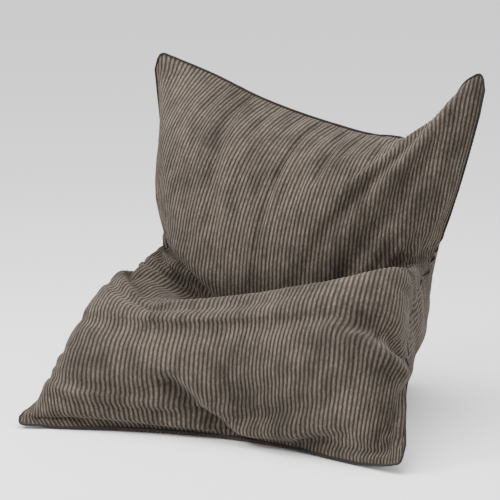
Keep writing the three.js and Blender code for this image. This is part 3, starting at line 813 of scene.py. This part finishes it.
def kept_inside(points, depth):
    """Puts points nearer than depth to the cover, or through it, at that depth or at half the
    way to the opposite side where the sack is thin; keeps all of them off the floor."""
    flat = points.reshape(-1, 3).copy()
    for i, point in enumerate(flat):
        nearest, normal, _, _ = cover_tree.find_nearest(Vector(point))
        if (Vector(point) - nearest).dot(normal) > -depth:
            across = cover_tree.ray_cast(nearest - normal * 0.0003, -normal, 2 * depth)[3]
            flat[i] = nearest - normal * (depth if across is None else across / 2)
    flat[:, 2] = np.maximum(flat[:, 2], FLOOR_CLEAR + depth * 0.6)
    return flat.reshape(points.shape)


def inner_grids(short, depth, rows):
    """Points under both panels between two stations, joined round an edge short of the seam."""
    columns = np.linspace(-1, 1, round(PANEL_WIDTH / INNER_CELL) + 1)
    u, v = np.meshgrid(columns, 2 * rows - 1)
    across = u * np.sqrt(1 - CORNER_EASE * v ** 8 / 2) * (PANEL_WIDTH / 2 - short)
    stations = 0.5 + v * np.sqrt(1 - CORNER_EASE * u ** 8 / 2) * (0.5 - short / PANEL_LENGTH)
    down = stations * PANEL_LENGTH
    surfaces = []
    for grid, side in ((front_grid, 1), (back_grid, -1)):
        raw = at_places(grid, across.ravel(), stations.ravel()).reshape(*u.shape, 3)
        soft = at_places(calmed(grid, 6), across.ravel(), stations.ravel()).reshape(*u.shape, 3)
        if side < 0:
            raw = straighten_at_zip(raw, across, down)
            soft = straighten_at_zip(soft, across, down)
        normal = surface_normals(soft, side)
        lift = np.minimum(((soft - raw) * normal).sum(axis=2), 0)
        surfaces.append((raw, normal, lift))
    middle = (surfaces[0][0] + surfaces[1][0]) / 2
    edge = np.minimum((1 - np.abs(u)) * PANEL_WIDTH / 2, (1 - np.abs(v)) * PANEL_LENGTH / 2)
    share = eased(edge / 0.07)[..., None]
    out = []
    for raw, normal, lift in surfaces:
        under = raw + normal * (lift - depth)[..., None]
        out.append(kept_inside(middle * (1 - share) + under * share, depth * 0.6))
    return out[0], out[1], across, down


def thin_shell(name, points, inward, thickness, side):
    """A closed thin sheet: the given grid, and a copy of it pushed inward."""
    rows, columns, _ = points.shape
    inner = points - inward * thickness[..., None]
    index = np.arange(rows * columns).reshape(rows, columns)
    under = index + rows * columns
    faces = strip_faces(index, side) + strip_faces(under, -side)
    rim = np.concatenate([index[0, :-1], index[:-1, -1], index[-1, :0:-1], index[:0:-1, 0]])
    nxt = np.roll(rim, -1)
    rim_faces = np.stack([rim, nxt, nxt + rows * columns, rim + rows * columns], -1)
    faces += rim_faces[:, ::side].tolist()
    return new_mesh(name, np.concatenate([points.reshape(-1, 3), inner.reshape(-1, 3)]), faces)


def liner_panel(name, which, rows, zip_end=None):
    """One panel of the inner bag as a piece: which is 0 for the front and 1 for the back."""
    grids = inner_grids(LINER_SHORT, LINER_DEPTH, rows)
    points, side = grids[which], 1 - 2 * which
    if zip_end is not None:
        row, sign = zip_end
        open_slot(points, row, sign)
    normal = surface_normals(points, side)
    edge = PANEL_WIDTH / 2 - LINER_SHORT - np.abs(grids[2])
    thickness = LINER_THICKNESS * np.clip(edge / 0.05, 0.2, 1)
    return add_piece(name, thin_shell(name, points, normal, thickness, side))


liner_zip = (ZIP_FROM_TOP - LINER_SHORT) / (PANEL_LENGTH - 2 * LINER_SHORT)
liner_front = liner_panel("inner_bag_front", 0, np.linspace(0, 1, 80))
liner_upper = liner_panel("inner_bag_back_upper", 1, np.linspace(0, liner_zip, 35), (-1, 1))
liner_lower = liner_panel("inner_bag_back_lower", 1, np.linspace(liner_zip, 1, 46), (0, -1))
for panel, node, length in (
        (liner_front, "liner_front", PANEL_LENGTH - 2 * LINER_SHORT),
        (liner_upper, "liner_back_upper", ZIP_FROM_TOP - LINER_SHORT),
        (liner_lower, "liner_back_lower", PANEL_LENGTH - ZIP_FROM_TOP - LINER_SHORT)):
    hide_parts(node)


def fill_mesh():
    """One closed body under both panels, hollowed behind the zips, lumpy with beads."""
    rows = np.linspace(0, 1, round(PANEL_LENGTH / INNER_CELL) + 1)
    front, back, across, down = inner_grids(FILL_SHORT, FILL_DEPTH, rows)
    normal = surface_normals(back, -1)
    near = (eased((ZIP_HALF + 0.06 - np.abs(back[..., 0] - zip_line[0])) / 0.04)
            * eased((0.06 - np.abs(down - ZIP_FROM_TOP)) / 0.03))
    back = back - normal * (0.012 * near)[..., None]
    lumps = 0.001 * lattice_noise(71, across, down, 0.03)
    edge = PANEL_WIDTH / 2 - FILL_SHORT - np.abs(across)
    lumps = (lumps - 0.001) * np.clip(edge / 0.05, 0, 1)
    front = front + surface_normals(front, 1) * lumps[..., None]
    back = back + normal * lumps[..., None]
    height, width, _ = front.shape
    index = np.arange(height * width).reshape(height, width)
    under = index.copy()
    under[1:-1, 1:-1] = index.size + np.arange((height - 2) * (width - 2)).reshape(height - 2, -1)
    points = np.concatenate([front.reshape(-1, 3), back[1:-1, 1:-1].reshape(-1, 3)])
    return new_mesh("bead_filling", points, strip_faces(index, 1) + strip_faces(under, -1))


filling = add_piece("bead_filling", fill_mesh())
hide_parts("bead_fill")


SLUB_LENGTH = 0.04
BEAD_WIDTH = 0.00385


def woven_material(name, dark, light, spacing, bump_depth, roughness):
    """Plain-woven cloth: matt, with thicker threads here and there as paler flecks. Real threads
    are a few tenths of a millimetre apart, so spacing, in metres, is coarser to show."""
    material, tree, shader = new_material(name)
    place = add_node(tree, "ShaderNodeTexCoord").outputs["Object"]
    scale = 2 * math.pi / (20 * spacing)
    warp = add_node(tree, "ShaderNodeTexWave", {"bands_direction": "X"}, Vector=place,
                    Scale=scale, Distortion=0.6, Detail=1.0).outputs["Fac"]
    weft = add_node(tree, "ShaderNodeTexWave", {"bands_direction": "Z"}, Vector=place,
                    Scale=scale, Distortion=0.6, Detail=1.0).outputs["Fac"]
    weave = add_node(tree, "ShaderNodeMath", {"operation": "MULTIPLY"}, i0=warp, i1=weft).outputs[0]
    slub = add_node(tree, "ShaderNodeTexNoise", Vector=place, Scale=1 / SLUB_LENGTH,
                    Detail=4.0).outputs["Fac"]
    shade = add_node(tree, "ShaderNodeMath", {"operation": "MULTIPLY_ADD"}, i0=weave, i1=0.5,
                     i2=slub).outputs[0]
    colour = add_node(tree, "ShaderNodeMix", {"data_type": "RGBA"}, i0=shade,
                      i6=linear(dark), i7=linear(light)).outputs[2]
    tree.links.new(colour, shader.inputs["Base Color"])
    bump = add_node(tree, "ShaderNodeBump", Height=weave, Strength=0.5, Distance=bump_depth)
    tree.links.new(bump.outputs["Normal"], shader.inputs["Normal"])
    shader.inputs["Roughness"].default_value = roughness
    return material


def bead_material():
    """Expanded polystyrene: white matt beads under 4 mm across, packed, with painted shade in the
    gaps between them.
    """
    material, tree, shader = new_material("expanded polystyrene beads")
    place = add_node(tree, "ShaderNodeTexCoord").outputs["Object"]
    cells = add_node(tree, "ShaderNodeTexVoronoi", Vector=place, Scale=1 / BEAD_WIDTH)
    # Painted shade: white at each bead's middle, greying towards its edge and into the gaps
    colour = add_node(tree, "ShaderNodeMix", {"data_type": "RGBA"}, i0=cells.outputs["Distance"],
                      i6=linear("#f7f6f2"), i7=linear("#b9b8b4")).outputs[2]
    tree.links.new(colour, shader.inputs["Base Color"])
    bump = add_node(tree, "ShaderNodeBump", {"invert": True}, Height=cells.outputs["Distance"],
                    Strength=1.0, Distance=0.0015)
    tree.links.new(bump.outputs["Normal"], shader.inputs["Normal"])
    shader.inputs["Roughness"].default_value = 0.6
    return material


lining = woven_material("spun polyester lining", "#26211d", "#3f3832", 0.00262, 0.0002, 0.85)
for panel in (liner_front, liner_upper, liner_lower):
    panel.data.materials.append(lining)
filling.data.materials.append(bead_material())

# ---------------------------------------------------------------------------------------------
# Zips: nylon coil zips, one in the cover's rear and one in the inner bag behind it. Woven tapes
# are sewn under the slot, a coil is stitched to each, and a cast slider with a pull runs on them.
ZIP_LENGTH = 0.44
LINER_TAPE_DEPTH = LINER_DEPTH + LINER_THICKNESS + 0.00065
TAPE_FROM = 0.0031
STOP_FROM_MIDDLE = ZIP_LENGTH / 2 + 0.0023
COIL_PITCH = 0.0016
COIL_WIRE = 0.00035


def on_zip(points, depth):
    """World places of points given along the zip, up across it and out from its tapes."""
    points = np.asarray(points, dtype=float)
    base = zip_line - zip_out * depth
    return (base + points[..., :1] * np.array([1.0, 0, 0]) + points[..., 1:2] * zip_up
            + points[..., 2:3] * zip_out)


def ring_faces(index):
    """Faces of a closed skin over a stack of rings of point numbers, capped at both ends."""
    nxt = np.roll(index, -1, axis=1)
    faces = np.stack([index[:-1], nxt[:-1], nxt[1:], index[1:]], -1).reshape(-1, 4).tolist()
    return faces + [index[0, ::-1].tolist(), index[-1].tolist()]


def turn_outward(mesh):
    """Turns all faces of a closed mesh to the outside."""
    turned = bmesh.new()
    turned.from_mesh(mesh)
    bmesh.ops.recalc_face_normals(turned, faces=turned.faces)
    turned.to_mesh(mesh)
    turned.free()
    mesh.update()
    return mesh


def sweep_mesh(name, rings):
    """Closed skin over a stack of rings, each with the same number of points."""
    count, sides, _ = rings.shape
    faces = ring_faces(np.arange(count * sides).reshape(count, sides))
    return turn_outward(new_mesh(name, rings, faces))


def tape_rings(sign):
    """Cross-sections of a tape: thick where the coil is stitched on, thin to the selvedge."""
    across = np.array([0, 0.6, 1.6, 2.4, 6, 11, 14.2, 15.0]) / 1000
    half = np.array([0.2, 0.35, 0.35, 0.26, 0.24, 0.24, 0.33, 0.15]) / 1000
    along = np.linspace(-ZIP_LENGTH / 2, ZIP_LENGTH / 2, 147)
    ripple = 0.00008 * np.sin(along[:, None] / 0.0047 + across / 0.004 + sign)
    x = np.broadcast_to(along[:, None], ripple.shape)
    y = np.broadcast_to(sign * (TAPE_FROM + across), ripple.shape)
    top = np.stack([x, y, ripple + half], -1)
    bottom = np.stack([x, y, ripple - half], -1)
    return np.concatenate([top, bottom[:, ::-1]], axis=1)


def coil_rings(sign):
    """A flattened spiral of nylon wire, its heads turned towards the other coil's and half a
    turn away from them."""
    turns = int(ZIP_LENGTH / COIL_PITCH) - 1
    steps = np.arange(turns * 10 + 1) / 10
    angle = 2 * np.pi * steps
    x = (steps - turns / 2 + sign / 4) * COIL_PITCH
    lean = np.sign(np.cos(angle)) * np.abs(np.cos(angle)) ** 0.7
    y = 0.00155 - 0.00075 * lean
    z = 0.00078 * np.sin(angle)
    path = np.stack([x, sign * y, z], -1)
    tangent = np.gradient(path, axis=0)
    tangent /= np.linalg.norm(tangent, axis=1, keepdims=True)
    first = np.cross(tangent, np.array([1.0, 0, 0]))
    first /= np.linalg.norm(first, axis=1, keepdims=True)
    second = np.cross(tangent, first)
    round_wire = np.linspace(0, 2 * np.pi, 5, endpoint=False)
    return (path[:, None] + COIL_WIRE * (first[:, None] * np.cos(round_wire)[:, None]
                                         + second[:, None] * np.sin(round_wire)[:, None]))


def rounded_block(length, width, height, corner, steps=6):
    """Rings of a block along x, its four long edges rounded and its ends drawn in."""
    angle = np.linspace(0, 2 * np.pi, 4 * steps, endpoint=False) + np.pi / (4 * steps)
    section = []
    for a in angle:
        c, s = math.cos(a), math.sin(a)
        section.append((math.copysign(width / 2 - corner, c) + corner * c,
                        math.copysign(height / 2 - corner, s) + corner * s))
    section = np.array(section)
    ends = np.array([(-0.5, 0.6), (-0.47, 0.85), (-0.4, 1), (0.4, 1), (0.47, 0.85), (0.5, 0.6)])
    rings = []
    for place, share in ends:
        rings.append([(place * length, y * share, z * share) for y, z in section])
    return np.array(rings)


def stop_mesh(name, x, depth):
    """A crimped metal stop: a small clamp with a waist."""
    rings = rounded_block(0.004, 0.0056, 0.0022, 0.0006)
    rings[2:4, :, 1] *= 0.94
    return sweep_mesh(name, on_zip(rings + np.array([x, 0, 0]), depth))


def slider_parts(x, sign):
    """The slider's blocks: two waisted plates, a post between the coils, a bridge and a pull."""
    plate = rounded_block(0.0116, 0.0088, 0.0010, 0.00045)
    waist = 1 - 0.16 * eased(np.abs(plate[..., 0] - sign * 0.0025) / 0.004)
    plate[..., 1] *= waist
    post = rounded_block(0.0108, 0.0007, 0.0032, 0.0002)
    blocks = [plate + np.array([x, 0, side * 0.0020]) for side in (-1, 1)]
    blocks.append(post + np.array([x, 0, 0]))
    bridge = rounded_block(0.0072, 0.0015, 0.0014, 0.0005)
    blocks.append(bridge + np.array([x, 0, 0.0032]))
    pull = rounded_block(0.016, 0.0052, 0.0010, 0.0004)
    pull[..., 1] *= 1 - 0.28 * eased((pull[..., 0] + 0.002) / 0.01)
    blocks.append(pull + np.array([x - 0.0098, 0, 0.0034]))
    return blocks


def joined(name, meshes):
    """Several meshes as one."""
    whole = bmesh.new()
    for mesh in meshes:
        whole.from_mesh(mesh)
        bpy.data.meshes.remove(mesh)
    out = bpy.data.meshes.new(name)
    whole.to_mesh(out)
    whole.free()
    return out


WORN_GRAIN = 0.00143
STREAK = 0.0011


def zip_metal_material():
    """Die-cast zinc alloy under dark plating: a dull shine, mottled where it has rubbed."""
    material, tree, shader = new_material("zinc alloy, dark plated")
    place = add_node(tree, "ShaderNodeTexCoord").outputs["Object"]
    worn = add_node(tree, "ShaderNodeTexNoise", Vector=place, Scale=1 / WORN_GRAIN,
                    Detail=3.0).outputs["Fac"]
    colour = add_node(tree, "ShaderNodeMix", {"data_type": "RGBA"}, i0=worn,
                      i6=linear("#3c3936"), i7=linear("#7a746d")).outputs[2]
    tree.links.new(colour, shader.inputs["Base Color"])
    rough = add_node(tree, "ShaderNodeMapRange", i0=worn, i3=0.3, i4=0.5).outputs[0]
    tree.links.new(rough, shader.inputs["Roughness"])
    shader.inputs["Metallic"].default_value = 1.0
    return material


def nylon_material(name, dark, light):
    """Drawn nylon wire: smooth and satin, a little uneven in shade."""
    material, tree, shader = new_material(name)
    place = add_node(tree, "ShaderNodeTexCoord").outputs["Object"]
    streak = add_node(tree, "ShaderNodeTexNoise", Vector=place, Scale=1 / STREAK,
                      Detail=2.0).outputs["Fac"]
    colour = add_node(tree, "ShaderNodeMix", {"data_type": "RGBA"}, i0=streak,
                      i6=linear(dark), i7=linear(light)).outputs[2]
    tree.links.new(colour, shader.inputs["Base Color"])
    shader.inputs["Roughness"].default_value = 0.38
    return material


metal = zip_metal_material()
for prefix, owner, depth, shades, slider_end in (
        ("zip", "cover", TAPE_DEPTH, ("#37302b", "#5a5049"), 1),
        ("liner_zip", "inner bag", LINER_TAPE_DEPTH, ("#2c2722", "#4a423b"), -1)):
    tape_cloth = woven_material(f"polyester zip tape, {owner}", *shades, 0.00196, 0.00015, 0.75)
    nylon = nylon_material(f"nylon zip coil, {owner}", *shades)
    for side, sign in (("upper", 1), ("lower", -1)):
        tape = add_piece(f"{prefix}_woven_tape_{side}", sweep_mesh(
            f"{prefix}_woven_tape_{side}", on_zip(tape_rings(sign), depth)))
        tape.data.materials.append(tape_cloth)
        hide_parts(f"{prefix}_tape_{side}")
        coil = add_piece(f"{prefix}_spiral_coil_{side}", sweep_mesh(
            f"{prefix}_spiral_coil_{side}", on_zip(coil_rings(sign), depth)))
        coil.data.materials.append(nylon)
        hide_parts(f"{prefix}_coil_{side}")
    for end, x in (("left", STOP_FROM_MIDDLE), ("right", -STOP_FROM_MIDDLE)):
        stop = add_piece(f"{prefix}_crimped_stop_{end}",
                         stop_mesh(f"{prefix}_crimped_stop_{end}", x, depth))
        stop.data.materials.append(metal)
        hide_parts(f"{prefix}_stop_{end}")
    slider_x = np.array(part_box(f"{prefix}_slider")).mean(axis=0)[0] - zip_line[0]
    parts = [sweep_mesh("part", on_zip(block, depth)) for block in slider_parts(slider_x, slider_end)]
    slider = add_piece(f"{prefix}_cast_slider", joined(f"{prefix}_cast_slider", parts),
                       f"{prefix}_slider")
    slider.data.materials.append(metal)
    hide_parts(f"{prefix}_slider")


LABEL_LENGTH = 0.018
LABEL_THICKNESS = 0.0004


def label_mesh():
    """A folded satin label, held by its top edge under the tape and curling a little."""
    low, high = np.array(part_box("care_label"))
    x = np.linspace(low[0], high[0], 25)
    up = np.linspace(0, LABEL_LENGTH, 13)
    centre = (low + high) / 2 - zip_line
    level = centre.dot(zip_up) - LABEL_LENGTH / 2
    out = centre.dot(zip_out)
    curl = 0.00006 * np.sin((x[None, :] - low[0]) / 0.004) * (1 + up[:, None] / 0.006)
    along = np.broadcast_to(x - zip_line[0], curl.shape)
    above = np.broadcast_to(level + up[:, None], curl.shape)
    points = on_zip(np.stack([along, above, out + curl + LABEL_THICKNESS / 2], -1), 0)
    return thin_shell("woven_care_label", points, np.broadcast_to(zip_out, points.shape),
                      np.full(curl.shape, LABEL_THICKNESS), -1)


label = add_piece("woven_care_label", label_mesh())
label.data.materials.append(woven_material("satin-woven polyester label", "#dcd9d2", "#f6f4ef",
                                           0.00121, 0.0001, 0.45))
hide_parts("care_label")


def stitch_run(name, path, normals, length, gap, radius):
    """A run of sewn stitches along a path: short humps of thread with a gap between."""
    arc = np.concatenate([[0], np.cumsum(np.linalg.norm(np.diff(path, axis=0), axis=1))])
    count = int(arc[-1] / (length + gap))
    pieces = []
    shares = np.linspace(0, 1, 5)
    lift = radius * np.array([-1.6, 0.2, 0.7, 0.2, -1.6])
    around = np.linspace(0, 2 * np.pi, 6, endpoint=False)
    faces = []
    for k in range(count):
        stations = (k * (length + gap)) + shares * length
        line = np.stack([np.interp(stations, arc, path[:, j]) for j in range(3)], -1)
        out = np.stack([np.interp(stations, arc, normals[:, j]) for j in range(3)], -1)
        out /= np.linalg.norm(out, axis=1, keepdims=True)
        line = line + out * lift[:, None]
        way = np.gradient(line, axis=0)
        way /= np.linalg.norm(way, axis=1, keepdims=True)
        beside = np.cross(way, out)
        beside /= np.linalg.norm(beside, axis=1, keepdims=True)
        top = np.cross(beside, way)
        ring = line[:, None] + radius * (beside[:, None] * np.cos(around)[:, None]
                                         + top[:, None] * np.sin(around)[:, None])
        size = len(shares) * len(around)
        faces += ring_faces(k * size + np.arange(size).reshape(len(shares), len(around)))
        pieces.append(ring)
    return turn_outward(new_mesh(name, np.concatenate(pieces), faces))


# Two rows of topstitching hold the cover's lips to the tapes
STITCH_LENGTH = 0.0031
STITCH_GAP = 0.0009
THREAD_RADIUS = 0.00035
stitch_material = woven_material("polyester sewing thread", "#4c433c", "#6f645a", 0.00126, 0.0001,
                                 0.6)
for side, (surface, row, step) in zip(("upper", "lower"), zip_lips):
    name = f"zip_topstitching_{side}"
    line = surface[row] * 0.62 + surface[row + step] * 0.38
    keep = np.abs(line[:, 0] - zip_line[0]) < ZIP_HALF + 0.012
    normals = surface_normals(surface, -1)[row][keep]
    stitching = add_piece(name, stitch_run(name, line[keep], normals, STITCH_LENGTH, STITCH_GAP,
                                           THREAD_RADIUS))
    stitching.data.materials.append(stitch_material)

# ---------------------------------------------------------------------------------------------
# Room: a white floor and a white sky. A soft light comes from the upper left of the front, and a
# larger one from overhead.
FLOOR_HALF = 60
floor_corners = FLOOR_HALF * np.array([(-1, -1, 0), (1, -1, 0), (1, 1, 0), (-1, 1, 0)])
floor_mesh = new_mesh("floor", floor_corners, [(0, 1, 2, 3)])
floor = add_object("floor", floor_mesh)
floor_material, floor_tree, floor_shader = new_material("painted floor")
floor_shader.inputs["Base Color"].default_value = linear("#f4f4f4")
floor_shader.inputs["Roughness"].default_value = 0.9
floor_mesh.materials.append(floor_material)

world = bpy.data.worlds.new("studio")
bpy.context.scene.world = world
world.use_nodes = True
world.node_tree.nodes["Background"].inputs["Color"].default_value = (1, 1, 1, 1)
world.node_tree.nodes["Background"].inputs["Strength"].default_value = 1.3


def add_light(name, place, target, size, power):
    """A round soft light, turned from its place to its target."""
    data = bpy.data.lights.new(name, "AREA")
    data.shape = "DISK"
    data.size = size
    data.energy = power
    light = add_object(name, data)
    light.location = place
    light.rotation_euler = (Vector(place) - Vector(target)).to_track_quat("Z", "Y").to_euler()


add_light("key", (-2.2, -2.4, 3.0), (0, 0, 0.5), 1.4, 140)
add_light("overhead", (0.2, -0.4, 4.2), (0, 0, 0), 3.2, 240)
